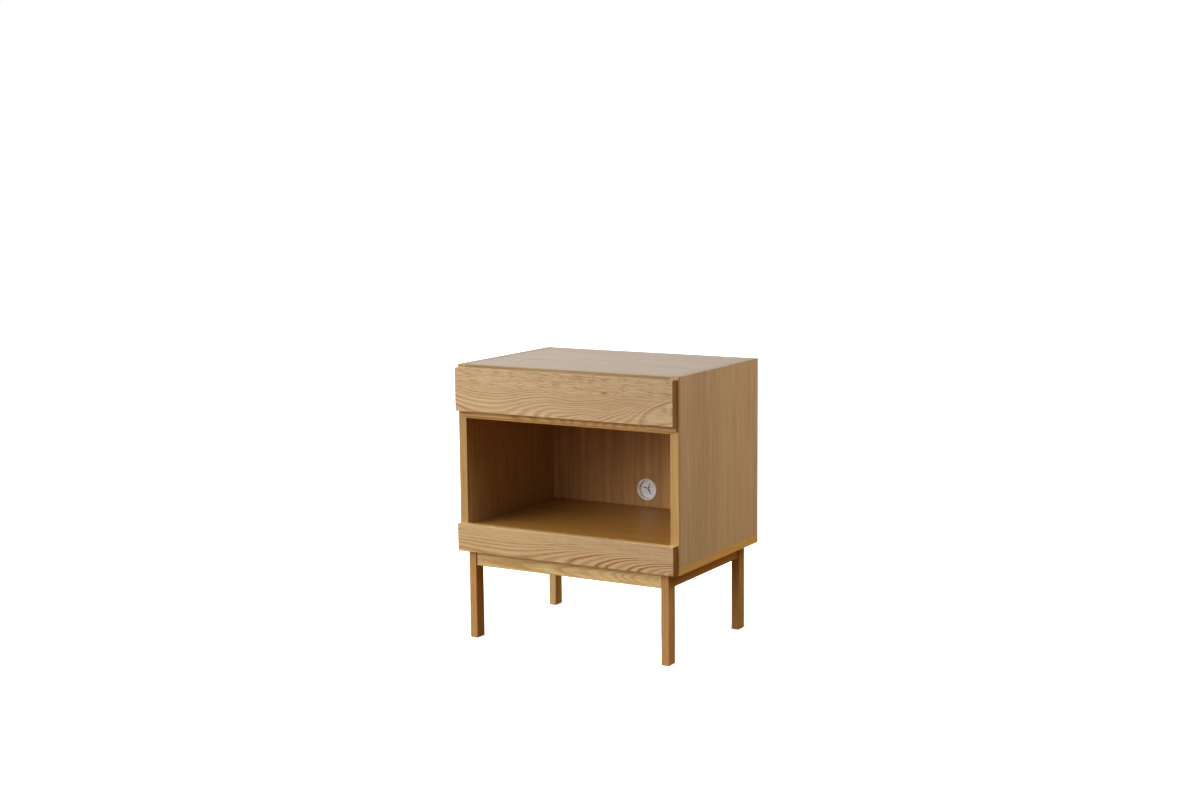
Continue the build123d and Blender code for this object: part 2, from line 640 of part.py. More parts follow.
BOX_T = 12.0             # drawer box sides, inner front and back
BOX_Z = (510.0, 572.0)
BOX_L = 320.0
BOX_BOTTOM_T = 4.0
BOX_BOTTOM_Z = 517.0
BOX_GROOVE = 5.0
BOX_OUTER_X = INNER_X - SLIDE_T - 0.05
BOX_INNER_X = BOX_OUTER_X - BOX_T
BOX_Y0 = -DRAWER_GAP
BOX_Y1 = BOX_Y0 + BOX_L
BOX_INNER_Y0 = BOX_Y0 + BOX_T
BOX_INNER_Y1 = BOX_Y1 - BOX_T
BOX_GROOVE_CUT = BOX_GROOVE + FIT
BOX_GROOVE_Z = (BOX_BOTTOM_Z - FIT, BOX_BOTTOM_Z + BOX_BOTTOM_T + FIT)

BOX_DOWEL_R = 3.0
BOX_DOWEL_L = 24.0
BOX_DOWEL_IN_SIDE = 8.5
BOX_DOWEL_Z = (530.0, 558.0)
BOX_DOWEL_Y = (BOX_Y0 + BOX_T / 2, BOX_Y1 - BOX_T / 2)
BOX_HOLE_R = BOX_DOWEL_R + 0.04
BOX_HOLE_OVER = 0.4
FRONT_SCREW_XZ = [(x, z) for x in (-150.0, 150.0) for z in (532.0, 556.0)]


def drawer_front():
    """Board with a thin finger lip along its bottom edge."""
    front = block(-BOARD_HALF_W, BOARD_HALF_W, FRONT_Y, -DRAWER_GAP,
                  FINGER_LIP_Z, FRONT_TOP_Z)
    front -= block(-BOARD_HALF_W - 1, BOARD_HALF_W + 1, FRONT_Y - 1, FINGER_LIP_Y,
                   FINGER_LIP_Z - 1, FRONT_FACE_Z)
    front = ease(front, at("Y", FRONT_Y), EASE_EDGE)
    front = ease(front, at("Z", FINGER_LIP_Z, 300), EASE_FINE)
    for x, z in FRONT_SCREW_XZ:
        front -= pilot_hole((x, -DRAWER_GAP, z), FORWARD, DRAWER_FRONT_SCREW, BOX_T)
    return front


def drawer_side(side):
    inner_x, outer_x = side * BOX_INNER_X, side * BOX_OUTER_X
    panel = block(inner_x, outer_x, BOX_Y0, BOX_Y1, *BOX_Z)
    panel = ease(panel, at("Z", BOX_Z[1], 200), EASE_BOX)
    panel -= block(inner_x, side * (BOX_INNER_X + BOX_GROOVE_CUT),
                   BOX_INNER_Y0 - BOX_GROOVE_CUT, BOX_INNER_Y1 + BOX_GROOVE_CUT,
                   *BOX_GROOVE_Z)
    for z in BOX_DOWEL_Z:
        for y in BOX_DOWEL_Y:
            panel -= rod((inner_x, y, z), (side, 0, 0),
                         BOX_DOWEL_IN_SIDE + BOX_HOLE_OVER, BOX_HOLE_R)
    for y in SLIDE_SCREW_Y:
        panel -= pilot_hole((outer_x, y, SLIDE_Z), (-side, 0, 0),
                            SLIDE_DRAWER_SCREW, SLIDE_SHEET)
    return panel


def drawer_end(y0, groove_y0, screws=()):
    """Inner front or back of the drawer box, its front face at y0."""
    panel = block(-BOX_INNER_X, BOX_INNER_X, y0, y0 + BOX_T, *BOX_Z)
    panel = ease(panel, at("Z", BOX_Z[1], 200), EASE_BOX)
    panel -= block(-BOX_INNER_X, BOX_INNER_X, groove_y0, groove_y0 + BOX_GROOVE_CUT,
                   *BOX_GROOVE_Z)
    for x, z in screws:
        panel -= screw_hole((x, y0 + BOX_T, z), FORWARD, DRAWER_FRONT_SCREW)
    for side, _ in SIDES:
        for z in BOX_DOWEL_Z:
            panel -= rod((side * BOX_INNER_X, y0 + BOX_T / 2, z), (-side, 0, 0),
                         BOX_DOWEL_L - BOX_DOWEL_IN_SIDE + BOX_HOLE_OVER, BOX_HOLE_R)
    return panel


def bumper(x, z):
    """Round pad on the rear face of the drawer front."""
    thickness = 0.7
    pad = rod((x, -DRAWER_GAP, z), REARWARD, thickness, 4.0)
    return ease(pad, at("Y", -DRAWER_GAP + thickness), 0.3)


save(drawer_front(), "drawer_front")
for side, side_name in SIDES:
    save(drawer_side(side), "drawer_side_" + side_name)
save(drawer_end(BOX_Y0, BOX_INNER_Y0 - BOX_GROOVE_CUT, FRONT_SCREW_XZ),
     "drawer_inner_front")
save(drawer_end(BOX_INNER_Y1, BOX_INNER_Y1), "drawer_back")
save(block(-BOX_INNER_X - BOX_GROOVE, BOX_INNER_X + BOX_GROOVE,
           BOX_INNER_Y0 - BOX_GROOVE, BOX_INNER_Y1 + BOX_GROOVE,
           BOX_BOTTOM_Z, BOX_BOTTOM_Z + BOX_BOTTOM_T), "drawer_bottom")
save([dowel((side * (BOX_INNER_X + BOX_DOWEL_IN_SIDE - BOX_DOWEL_L / 2), y, z), RIGHT,
            BOX_DOWEL_L, BOX_DOWEL_R)
      for side, _ in SIDES for z in BOX_DOWEL_Z for y in BOX_DOWEL_Y], "drawer_dowels")
save([screw((x, BOX_INNER_Y0, z), FORWARD, DRAWER_FRONT_SCREW) for x, z in FRONT_SCREW_XZ],
     "drawer_front_screws")
save([bumper(side * 258.0, z) for side, _ in SIDES for z in (586.0, 515.0)],
     "drawer_bumpers")
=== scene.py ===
"""A small oak cabinet on legs: one drawer over an open compartment, with a
cable outlet and steel drawer slides. +Z is up, the front faces -Y and +X is
the right-hand side.

This script gives each its material, then adds the floor, the light and the
camera. Material sizes are in millimetres, except bevel, bump and occlusion
distances, which are in metres like the scene.
"""
import math
from types import SimpleNamespace

import bpy
from mathutils import Matrix, Vector

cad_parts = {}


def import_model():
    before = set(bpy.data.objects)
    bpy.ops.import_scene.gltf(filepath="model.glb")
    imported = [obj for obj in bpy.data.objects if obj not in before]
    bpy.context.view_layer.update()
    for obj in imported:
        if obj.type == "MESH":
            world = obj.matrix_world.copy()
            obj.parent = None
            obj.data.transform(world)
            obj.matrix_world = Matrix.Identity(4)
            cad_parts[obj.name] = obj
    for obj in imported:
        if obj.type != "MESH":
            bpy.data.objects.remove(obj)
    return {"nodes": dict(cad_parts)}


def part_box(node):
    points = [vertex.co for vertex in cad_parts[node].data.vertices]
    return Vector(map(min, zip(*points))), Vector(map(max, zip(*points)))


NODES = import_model()["nodes"]
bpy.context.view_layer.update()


# ------------------------------------------------------------ node graphs
def lin(red, green, blue):
    """Display colour 0..255 to linear, with full alpha."""
    def channel(value):
        value /= 255.0
        return value / 12.92 if value <= 0.04045 else ((value + 0.055) / 1.055) ** 2.4
    return (channel(red), channel(green), channel(blue), 1.0)


def tint(colour, factors):
    return tuple(colour[i] * factors[i] for i in range(3)) + (1.0,)


class Graph:
    """Node tree of a material or world. Most methods add nodes and return a socket;
    any argument that takes a value may be a number, a tuple or a socket."""

    def __init__(self, owner, output="ShaderNodeOutputMaterial"):
        self.owner = owner
        owner.use_nodes = True
        self.tree = owner.node_tree
        self.tree.nodes.clear()
        self.output = self.tree.nodes.new(output)
        self.count = 0

    def put(self, socket, value):
        if isinstance(value, bpy.types.NodeSocket):
            self.tree.links.new(value, socket)
        elif value is not None:
            socket.default_value = value

    def node(self, kind, *inputs, **props):
        """New node with its inputs filled in order; None skips one."""
        node = self.tree.nodes.new(kind)
        node.location = (-180.0 * (self.count % 24), -160.0 * (self.count // 24))
        self.count += 1
        for key, value in props.items():
            setattr(node, key, value)
        for i, value in enumerate(inputs):
            self.put(node.inputs[i], value)
        return node

    def fill(self, node, **values):
        """Fill inputs by name, with _ for a space."""
        for key, value in values.items():
            self.put(node.inputs[key.replace("_", " ")], value)
        return node

    # numbers
    def math(self, operation, *args, clamp=False):
        return self.node("ShaderNodeMath", *args, operation=operation,
                         use_clamp=clamp).outputs[0]

    def add(self, first, second):
        return self.math("ADD", first, second)

    def sub(self, first, second):
        return self.math("SUBTRACT", first, second)

    def mul(self, first, second):
        return self.math("MULTIPLY", first, second)

    def mad(self, value, factor, offset):
        return self.math("MULTIPLY_ADD", value, factor, offset)

    def swing(self, value, amount, centre):
        """centre plus amount times how far value is from a half."""
        return self.mad(self.sub(value, 0.5), amount, centre)

    def clamp(self, value):
        return self.math("ADD", value, 0.0, clamp=True)

    def inv(self, value):
        """One minus value."""
        return self.math("SUBTRACT", 1.0, value)

    def smooth(self, value, low, high):
        """Smooth step from 0 at low to 1 at high."""
        node = self.node("ShaderNodeMapRange", interpolation_type="SMOOTHSTEP")
        return self.fill(node, Value=value, From_Min=low, From_Max=high).outputs[0]

    def curve(self, value, points):
        """Smooth curve through (value, result) points; a bare number is constant."""
        if isinstance(points, (int, float)):
            return points
        x0, x1 = points[0][0], points[-1][0]
        y0, y1 = min(p[1] for p in points), max(p[1] for p in points)
        unit = self.math("MULTIPLY_ADD", value, 1.0 / (x1 - x0), -x0 / (x1 - x0),
                         clamp=True)
        node = self.node("ShaderNodeFloatCurve")
        stops = node.mapping.curves[0].points
        places = [((x - x0) / (x1 - x0), (y - y0) / (y1 - y0)) for x, y in points]
        stops[0].location = places[0]
        stops[-1].location = places[-1]
        for x, y in places[1:-1]:
            stops.new(x, y)
        node.mapping.update()
        self.fill(node, Value=unit)
        return self.mad(node.outputs[0], y1 - y0, y0)

    def mix(self, factor, first, second):
        return self.node("ShaderNodeMix", factor, None, first, second,
                         data_type="FLOAT").outputs[0]

    # vectors and colours
    def xyz(self, x, y, z):
        return self.node("ShaderNodeCombineXYZ", x, y, z).outputs[0]

    def axes(self, vector):
        """A vector's parts by axis name."""
        return dict(zip("XYZ", self.node("ShaderNodeSeparateXYZ", vector).outputs))

    def scale(self, vector, factors):
        return self.node("ShaderNodeVectorMath", vector, factors,
                         operation="MULTIPLY").outputs[0]

    def gain(self, colour, factor):
        """Colour times a number."""
        return self.node("ShaderNodeVectorMath", colour, None, None, factor,
                         operation="SCALE").outputs[0]

    def blend(self, factor, first, second, mode="MIX"):
        return self.node("ShaderNodeMix", factor, *[None] * 5, first, second,
                         data_type="RGBA", blend_type=mode).outputs[2]

    def filtered(self, factor, colour, tinted):
        """Colour multiplied by a second colour where factor is 1."""
        return self.blend(factor, colour, self.blend(1.0, colour, tinted, "MULTIPLY"))

    # textures
    def noise(self, vector, detail=2.0, rough=0.5, distortion=0.0):
        node = self.node("ShaderNodeTexNoise", noise_dimensions="3D")
        return self.fill(node, Vector=vector, Scale=1.0, Detail=detail, Roughness=rough,
                         Distortion=distortion).outputs[0]

    def shrink(self, vector, size):
        """Divide by a feature size: one length, or one for each axis."""
        sizes = size if isinstance(size, tuple) else (size,) * 3
        return self.scale(vector, tuple(1.0 / length for length in sizes))

    def grains(self, vector, size, detail=2.0, rough=0.5, distortion=0.0):
        """Noise whose features have the given size."""
        return self.noise(self.shrink(vector, size), detail, rough, distortion)

    def line_noise(self, value):
        node = self.node("ShaderNodeTexNoise", noise_dimensions="1D")
        return self.fill(node, W=value, Scale=1.0, Detail=1.0, Roughness=0.5).outputs[0]

    def chance(self, value):
        """A random number 0..1 for each value."""
        node = self.node("ShaderNodeTexWhiteNoise", noise_dimensions="1D")
        return self.fill(node, W=value).outputs[0]

    def cells(self, vector, size):
        """Outputs of a cell texture with the given cell size."""
        node = self.node("ShaderNodeTexVoronoi", voronoi_dimensions="3D", feature="F1")
        return self.fill(node, Vector=self.shrink(vector, size), Scale=1.0,
                         Randomness=1.0).outputs

    # geometry
    def position(self):
        """Object position in millimetres."""
        coords = self.node("ShaderNodeTexCoord").outputs["Object"]
        return self.scale(coords, (1000.0, 1000.0, 1000.0))

    def normal(self):
        geometry = self.node("ShaderNodeNewGeometry")
        return self.axes(geometry.outputs["True Normal"])

    def bevel(self, radius):
        return self.fill(self.node("ShaderNodeBevel", samples=4), Radius=radius).outputs[0]

    def worn_edge(self, radius):
        """1 on edges within about radius (m), 0 on flats."""
        rounded = self.bevel(radius)
        flat = self.node("ShaderNodeNewGeometry").outputs["Normal"]
        dot = self.node("ShaderNodeVectorMath", rounded, flat, operation="DOT_PRODUCT")
        return self.smooth(self.inv(dot.outputs["Value"]), low=0.02, high=0.22)

    def bump(self, height, strength, distance, normal=None):
        return self.fill(self.node("ShaderNodeBump"), Strength=strength, Distance=distance,
                         Height=height, Normal=normal).outputs[0]

    # shaders
    def shader(self, kind, *inputs):
        return self.node("ShaderNode" + kind, *inputs).outputs[0]

    def camera_ray(self):
        return self.node("ShaderNodeLightPath").outputs["Is Camera Ray"]

    def surface(self, shader):
        self.put(self.output.inputs["Surface"], shader)
        return self.owner

    def principled(self, **values):
        node = self.fill(self.node("ShaderNodeBsdfPrincipled"), **values)
        return self.surface(node.outputs[0])


def material_graph(name):
    return Graph(bpy.data.materials.new(name))


def dress(material, *pieces):
    for piece in pieces:
        mesh = NODES[piece].data
        mesh.materials.clear()
        mesh.materials.append(material)
        for polygon in mesh.polygons:
            polygon.material_index = 0


def box_mm(piece):
    """Low and high corners of a piece in millimetres."""
    low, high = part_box(piece)
    return [1000.0 * v for v in low], [1000.0 * v for v in high]


# ------------------------------------------------------------------- wood
OAK = dict(light=lin(212, 181, 141), mid=lin(190, 154, 113), dark=lin(162, 105, 46),
           pore=lin(118, 76, 40), red=lin(176, 118, 76))
VENEER = dict(light=lin(206, 174, 133), mid=lin(188, 152, 110), dark=lin(158, 113, 66),
              pore=lin(124, 84, 52), red=lin(178, 126, 84))
PINE = dict(light=lin(222, 194, 148), mid=lin(208, 174, 124), dark=lin(178, 130, 78),
            pore=lin(160, 110, 66), red=lin(192, 138, 88))
PALE = dict(light=lin(226, 204, 168), mid=lin(214, 188, 148), dark=lin(190, 154, 110),
            pore=lin(172, 134, 94), red=lin(202, 164, 122))
# edge tape: partly the tape's own colour, partly painted light that brightens it where
# little light reaches
TAPE = tint(lin(192, 150, 92), (1.17, 1.28, 1.27))
SIDE_TAPE = lin(182, 150, 108)
KNOT_STAIN = lin(158, 92, 52)
DASH_COLOUR = lin(150, 100, 60)
WOOD_EDGE = 0.0010  # rounding of wooden edges, m

# What wood() can be told, and its usual values. A "line" is a list of
# (position, value) points.
WOOD = dict(
    # the log
    face=0.0,         # where the main face lies, through the thickness
    axis=0.0,         # log centre across the face: a number, or a line along the grain
    depth=60.0,       # log centre behind the face: a number, or a line along the grain
    ring=3.5,         # width of a ring
    ring_line=None,   # ring count against radius, in place of ring
    warp=(5.0, 1.2, 0.35),  # wander of the rings: broad, middling, fine
    wild=None,        # line across the face: gain of the finer two warps
    spread=1.0,       # unevenness of ring widths
    knots=(),         # (along, across, length, width, ring swell, stain)
    leaf=0.0,         # width of a veneer leaf; 0 is solid wood
    # the figure
    contrast=1.0, tail=0.55,  # strength; how far into a ring its dark part fades
    fade=0.0,         # share of the figure that comes and goes in patches
    zone=None, soft=None,     # lines of figure strength: across and along
    broken=None,      # line across: how far the figure is broken up
    dashes=None,      # short marks: (line of amount across, slope, strength)
    fine=1.0, pores=1.0,      # strength of fibres and of pores
    bands=0.0,        # strength of long light and dark bands
    # colour and finish
    palette=OAK, tone=(1.0, 1.0, 1.0), tape=TAPE,
    end=(0.60, 0.50, 0.40),   # colour factors of end grain
    ramp=None,        # line along the grain: brightness
    faces=(),         # (axis, sign, colour factors) of surfaces that point one way: painted light and shade
    below=None,       # (height, colour factors beneath it): painted shade beneath that height
    rough=0.46, coat=0.08, spec=0.4,
    hidden=False)     # no worn edges or relief


def ring_count(net, cut, seed, place):
    """Rings counted from the log's centre, and the stain round its knots."""
    across_log = net.sub(cut.over, net.curve(cut.along, cut.axis))
    into_log = net.add(cut.inward, net.curve(cut.along, cut.depth))
    radius = net.math("SQRT", net.add(net.mul(across_log, across_log),
                                      net.mul(into_log, into_log)))
    broad = net.sub(cut.field(420, 64, detail=1.0), 0.5)
    middling = net.sub(cut.field(95, 12), 0.5)
    fine = net.sub(cut.field(26, 2.6), 0.5)
    radius = net.mad(broad, 2.0 * cut.warp[0], radius)
    if cut.wild:
        gain = net.curve(net.sub(place[cut.across], 0.0), cut.wild)
        middling = net.mul(middling, gain)
        fine = net.mul(fine, gain)
    radius = net.mad(middling, 2.0 * cut.warp[1], radius)
    radius = net.mad(fine, 2.0 * cut.warp[2], radius)

    stain = None
    for along, across, length, width, swell, strength in cut.knots:
        square = net.add(
            net.math("POWER", net.mul(net.sub(cut.along, along), 1.0 / length), 2.0),
            net.math("POWER", net.mul(net.sub(cut.over, across), 1.0 / width), 2.0))
        radius = net.mad(net.math("EXPONENT", net.mul(square, -1.0)), swell, radius)
        if strength:
            spot = net.mul(net.math("EXPONENT", net.mul(square, -2.2)), strength)
            stain = spot if stain is None else net.math("MAXIMUM", stain, spot)

    if cut.ring_line:
        count = net.curve(radius, cut.ring_line)
    else:
        count = net.mul(radius, 1.0 / cut.ring)
    uneven = net.line_noise(net.mad(count, 0.31, seed * 3.7))
    return net.add(count, net.mul(uneven, 1.5 * cut.spread)), stain


def figure_strength(net, cut, place, early, late, strength, fibre):
    """How dark the wood is drawn by its rings and fibres."""
    figure = net.mul(net.mul(early, strength), 0.62 * cut.contrast)
    if cut.fade:
        patches = net.smooth(cut.field(190, 34, detail=1.0), 0.36, 0.62)
        figure = net.mul(figure, net.mad(patches, cut.fade, 1.0 - cut.fade))
    if cut.zone:
        figure = net.mul(figure, net.curve(place[cut.across], cut.zone))
    if cut.soft:
        figure = net.mul(figure, net.curve(place[cut.grain], cut.soft))
    if cut.broken:
        gaps = net.smooth(cut.field(24, 2.6, rough=0.55), 0.40, 0.60)
        amount = net.curve(place[cut.across], cut.broken)
        figure = net.mul(figure, net.mix(amount, 1.0, gaps))
    figure = net.mad(late, 0.12 * cut.contrast, figure)
    return net.swing(fibre, 0.8 * cut.fine, figure)


def add_dashes(net, cut, place, base):
    """Short dark and light marks, slightly aslant to the grain."""
    line, slope, strength = cut.dashes
    amount = net.curve(place[cut.across], line)
    # each mark is about 30 long, 2.3 wide and 6 deep
    marks = net.noise(net.xyz(net.mul(cut.along, 1 / 30.0),
                              net.mul(net.mad(cut.along, slope, cut.over), 1 / 2.3),
                              net.mul(cut.inward, 1 / 6.0)),
                      rough=0.55, distortion=0.25)
    dark = net.mul(net.smooth(marks, 0.53, 0.70), amount)
    light = net.mul(net.inv(net.smooth(marks, 0.28, 0.42)), amount)
    base = net.blend(net.mul(dark, strength), base, tint(DASH_COLOUR, cut.tone))
    return net.blend(net.mul(light, 0.45 * strength), base,
                     tint(cut.palette["light"], cut.tone))


def add_tape(net, cut, place, normal, base):
    """Edge tape on the edges of a veneered board; its grain follows the edge."""
    spot = net.xyz(place[cut.grain], place[cut.across], place[cut.through])
    lengthwise = net.grains(spot, (55.0, 0.8, 0.8), detail=3.0, rough=0.55)
    crosswise = net.grains(spot, (0.8, 55.0, 0.8), detail=3.0, rough=0.55)
    fibre = net.mix(net.math("ABSOLUTE", normal[cut.grain]), lengthwise, crosswise)
    cloud = net.grains(spot, (210.0, 160.0, 6.0))
    colour = net.blend(net.clamp(net.swing(fibre, 2.0, 0.32)),
                       tint(cut.tape, (1.06, 1.06, 1.08)),
                       tint(cut.tape, (0.72, 0.66, 0.58)))
    colour = net.gain(colour, net.swing(cloud, 0.2, 1.0))
    on_edge = net.inv(net.smooth(net.math("ABSOLUTE", normal[cut.through]), 0.45, 0.75))
    return net.blend(on_edge, base, colour), on_edge, fibre


def wood(name, axes, seed, **changes):
    """Wood cut from a ring-shaped log.

    axes names the grain's axis, the one across the face and the one through
    the thickness. The log's centre lies behind the main face and may wander
    along the grain, which draws the cathedral figure."""
    cut = SimpleNamespace(**{**WOOD, **changes})
    cut.grain, cut.across, cut.through = axes
    net = material_graph(name)
    place = net.axes(net.position())
    normal = net.normal()
    cut.along, cut.over = place[cut.grain], place[cut.across]
    if cut.leaf:
        # each leaf comes from its own spot in the log
        cut.inward = 0.0
        shifted = net.add(cut.over, cut.leaf * (3.37 + 0.21 * seed))
        leaf = net.math("FLOOR", net.mul(shifted, 1.0 / cut.leaf))
        chance = net.chance(net.add(leaf, seed * 5.31))
        cut.over = net.add(cut.over, net.mul(net.sub(chance, 0.5), 23.0))
        leaf_tone = net.mad(chance, 0.085, 1.0 - 0.0425)
        cut.along = net.add(cut.along, net.mul(chance, 330.0))
    else:
        cut.inward = net.mul(net.sub(place[cut.through], cut.face), 1.0)
    log = net.xyz(net.add(cut.along, seed * 317.0), net.add(cut.over, seed * 73.0),
                  cut.inward)

    def field(length, width, detail=2.0, rough=0.5):
        """Noise of the given size along and across the grain."""
        return net.grains(log, (length, width, width), detail, rough)
    cut.field = field

    # each ring: a dark early part, a glow after it and a faint late line
    count, stain = ring_count(net, cut, seed, place)
    ring = net.math("FLOOR", count)
    phase = net.math("FRACT", count)
    strength = net.chance(net.add(ring, seed * 1.7))
    if cut.leaf:
        strength = net.mad(net.mul(strength, strength), 0.9, 0.1)
    else:
        strength = net.mad(strength, 0.65, 0.35)
    tail = cut.tail
    early = net.mul(net.smooth(phase, 0.0, 0.035), net.inv(net.smooth(phase, 0.10, tail)))
    glow = net.mul(net.smooth(phase, tail - 0.2, tail + 0.1),
                   net.inv(net.smooth(phase, tail + 0.1, 1.0)))
    late = net.smooth(phase, 0.66, 0.96)

    fibre = field(34, 0.55, detail=3.0, rough=0.6)
    streak = field(150, 2.3, rough=0.55)
    broad = field(300, 30)
    patch = field(70, 16)
    pore_distance = net.cells(log, (5.2, 0.52, 0.52))["Distance"]
    has_pores = net.smooth(field(22, 3.0, detail=1.0), 0.40, 0.62)
    pore = net.mul(net.inv(net.smooth(pore_distance, 0.16, 0.36)), has_pores)
    pore = net.mul(pore, net.mad(early, 0.85, 0.15))

    # colour
    shade = {key: tint(colour, cut.tone) for key, colour in cut.palette.items()}
    base = net.blend(net.clamp(net.swing(streak, 1.5 + 0.7 * cut.fine, 0.45)),
                     shade["light"], shade["mid"])
    base = net.blend(net.mul(net.smooth(patch, 0.52, 0.78), 0.16), base, shade["red"])
    figure = figure_strength(net, cut, place, early, late, strength, fibre)
    base = net.blend(net.mul(glow, 0.22 * min(cut.contrast, 1.5)), base,
                     tint(cut.palette["light"], tuple(1.06 * v for v in cut.tone)))
    base = net.blend(net.clamp(figure), base, shade["dark"])
    if cut.dashes:
        base = add_dashes(net, cut, place, base)
    if stain is not None:
        base = net.blend(net.mul(stain, 0.75), base, tint(KNOT_STAIN, cut.tone))
    base = net.blend(net.mul(pore, 0.55 * cut.pores), base, shade["pore"])

    light = net.swing(broad, 0.22, 1.0)
    if cut.bands:
        light = net.swing(field(1000, 20, rough=0.6), cut.bands, light)
    if cut.ramp:
        light = net.mul(light, net.curve(place[cut.grain], cut.ramp))
    if cut.leaf:
        light = net.mul(light, leaf_tone)
    base = net.gain(base, light)

    if cut.leaf:
        base, on_edge, tape_fibre = add_tape(net, cut, place, normal, base)
    else:
        on_end = net.smooth(net.math("ABSOLUTE", normal[cut.grain]), 0.62, 0.86)
        end_dark = tuple(0.8 * v for v in cut.end)
        end = net.blend(net.clamp(net.mad(early, 0.5, net.mul(pore, 0.6))),
                        cut.end + (1.0,), end_dark + (1.0,))
        base = net.filtered(on_end, base, end)
    # painted light and shade: surfaces that point one way made lighter or darker
    for axis, sign, factors in cut.faces:
        face_light_mask = net.smooth(net.mul(normal[axis], sign), 0.4, 0.6)
        base = net.filtered(face_light_mask, base, factors + (1.0,))
    # painted shade: colour lower than a height tinted warmer and darker
    if cut.below:
        height, factors = cut.below
        shade_under = net.inv(net.smooth(place["Z"], height - 0.6, height + 0.6))
        base = net.filtered(shade_under, base, factors + (1.0,))
    if cut.hidden:
        return net.principled(Base_Color=base, Roughness=cut.rough + 0.04,
                              Specular_IOR_Level=cut.spec)

    # edges: rubbed bright in places, darker elsewhere
    edge = net.worn_edge(WOOD_EDGE * 1.3)
    wear = net.grains(net.xyz(*place.values()), 14.0)
    rub = net.mul(edge, net.mad(wear, 0.9, 0.0))
    base = net.blend(net.mul(rub, 0.35), base, net.gain(base, 1.08))
    base = net.blend(net.mul(net.inv(rub), net.mul(edge, 0.30)), base,
                     net.gain(base, 0.70))

    rough = net.mad(pore, 0.16, cut.rough)
    rough = net.swing(streak, 0.10, rough)
    rough = net.mad(rub, -0.06, rough)
    smudge = net.grains(net.xyz(*place.values()), 60.0, detail=3.0, rough=0.55)
    rough = net.swing(smudge, 0.10, rough)

    height = net.mad(pore, -1.0, net.mul(fibre, 0.35))
    height = net.mad(early, -0.25, height)
    if cut.leaf:
        height = net.mix(on_edge, height, net.mul(tape_fibre, 0.35))
    relief = net.bump(height, strength=0.35, distance=0.00016, normal=net.bevel(WOOD_EDGE))
    return net.principled(Base_Color=base, Roughness=rough, Normal=relief,
                          Specular_IOR_Level=cut.spec, Coat_Weight=cut.coat,
                          Coat_Roughness=0.34)


# Colour factors of surfaces and ends; surfaces pointing up get painted sheen and those
# pointing down painted shade
FRONT_END = (0.80, 0.62, 0.46)
END = (0.62, 0.43, 0.26)
# painted sheen: surfaces pointing up greyed and cooled
PAINTED_SHEEN_UP = ("Z", 1.0, (0.84, 0.95, 1.12))
# painted shade: surfaces pointing down made warmer and less blue
PAINTED_SHADE_DOWN = ("Z", -1.0, (1.20, 0.98, 0.58))

# ----------------------------------------------------------- front boards
low, high = box_mm("drawer_front")
LEFT, RIGHT = low[0], high[0]


def part(percent):
    """x at a percentage of the front's width, from the left."""
    return LEFT + (RIGHT - LEFT) * percent / 100.0


def across_front(*points):
    """Line along x from (percent of the width, value) points."""
    return [(part(percent), value) for percent, value in points]


# drawer front: solid oak, cathedral figure rising to the right
bottom, top = low[2], high[2]
foot = top - 95.0  # height that the figure is measured from
dress(wood(
    "oak_drawer_front", "XZY", seed=1, face=low[1],
    depth=across_front((0, 61), (12, 63), (22, 63), (35, 59), (48, 53), (60, 46),
                       (72, 38.5), (82, 32.5), (92, 22), (100, 18)),
    axis=across_front((0, foot + 3), (18, foot - 4), (40, foot + 2), (60, foot - 13),
                      (74, foot - 8), (84, foot + 2), (93, foot + 20), (100, foot + 30)),
    ring_line=[(0, 0), (33, 1.2), (56, 9.0), (63, 11.4), (86, 18.6), (110, 28), (160, 47)],
    warp=(4.0, 1.5, 0.55), spread=0.6,
    wild=[(bottom, 0.7), (foot + 45, 0.8), (foot + 66, 2.2), (top, 3.2)],
    knots=((part(70), foot + 61, 11, 4.5, 9.0, 1.0),
           (part(57), foot + 68, 16, 4.0, 5.0, 0.0),
           (part(38), foot + 77, 20, 5.0, 6.0, 0.25),
           (part(97), foot + 31, 11, 9.0, 7.0, 0.15)),
    contrast=2.35, fade=0.5, tail=0.40, fine=1.3,
    zone=[(bottom, 0.55), (foot + 14, 0.60), (foot + 34, 0.85), (foot + 50, 0.85),
          (foot + 62, 0.75), (top, 0.85)],
    soft=across_front((0, 0.85), (60, 0.95), (80, 0.85), (100, 0.5)),
    broken=[(bottom, 0.15), (foot + 48, 0.2), (foot + 60, 0.9), (top, 1.0)],
    dashes=([(bottom, 0), (foot + 46, 0.05), (foot + 60, 0.8), (top, 1.0)], 0.10, 0.70),
    tone=(0.95, 1.02, 1.04), end=FRONT_END, ramp=[(LEFT, 1.01), (RIGHT, 0.87)],
    # painted shade: top edge darker, surfaces pointing down and the strip lower than foot
    # height warmer
    faces=(("Z", 1.0, (0.92, 0.89, 0.82)), PAINTED_SHADE_DOWN),
    below=(foot, (1.10, 0.94, 0.66))), "drawer_front")

